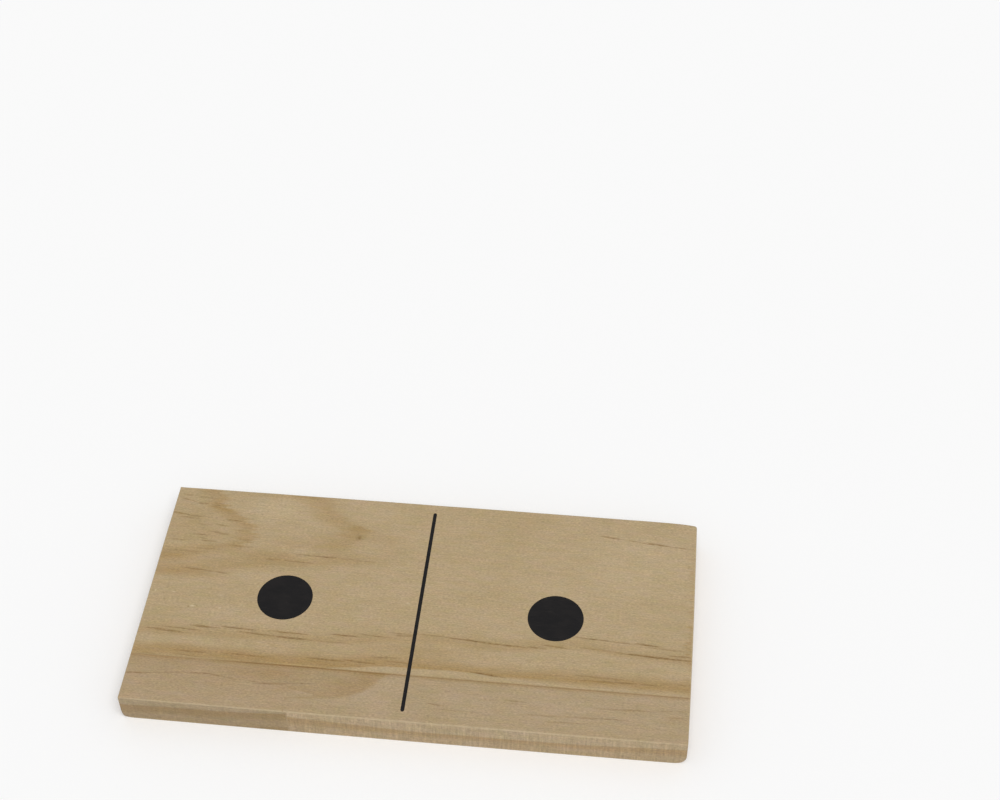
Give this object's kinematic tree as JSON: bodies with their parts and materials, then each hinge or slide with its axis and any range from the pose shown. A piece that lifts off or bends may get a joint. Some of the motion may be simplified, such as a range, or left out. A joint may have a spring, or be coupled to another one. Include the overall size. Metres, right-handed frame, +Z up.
{
  "type": "domino tile",
  "caption": "Large wooden domino tile: a flat pine board with softly rounded edges, a printed dividing line and a round pip on each half.",
  "frame": {"origin": "centre of the underside", "axes": "+X along the length to the right half, +Y from the narrow front stave to the wide back stave, +Z up out of the printed face"},
  "size_m": [0.3, 0.148, 0.0181],
  "materials": {
    "pine": "planed and sanded, matt, with brown resin streaks",
    "wood_glue": "cured glue, sanded flush with the wood",
    "black_ink": "flat black screen-printed ink with the grain showing through"
  },
  "bodies": {
    "root": {"wide_stave": "pine", "narrow_stave_left": "pine", "narrow_stave_right": "pine", "edge_glue_line": "wood_glue", "finger_joint_glue": "wood_glue", "left_pip": "black_ink", "right_pip": "black_ink", "divider_line": "black_ink"}
  },
  "joints": []
}
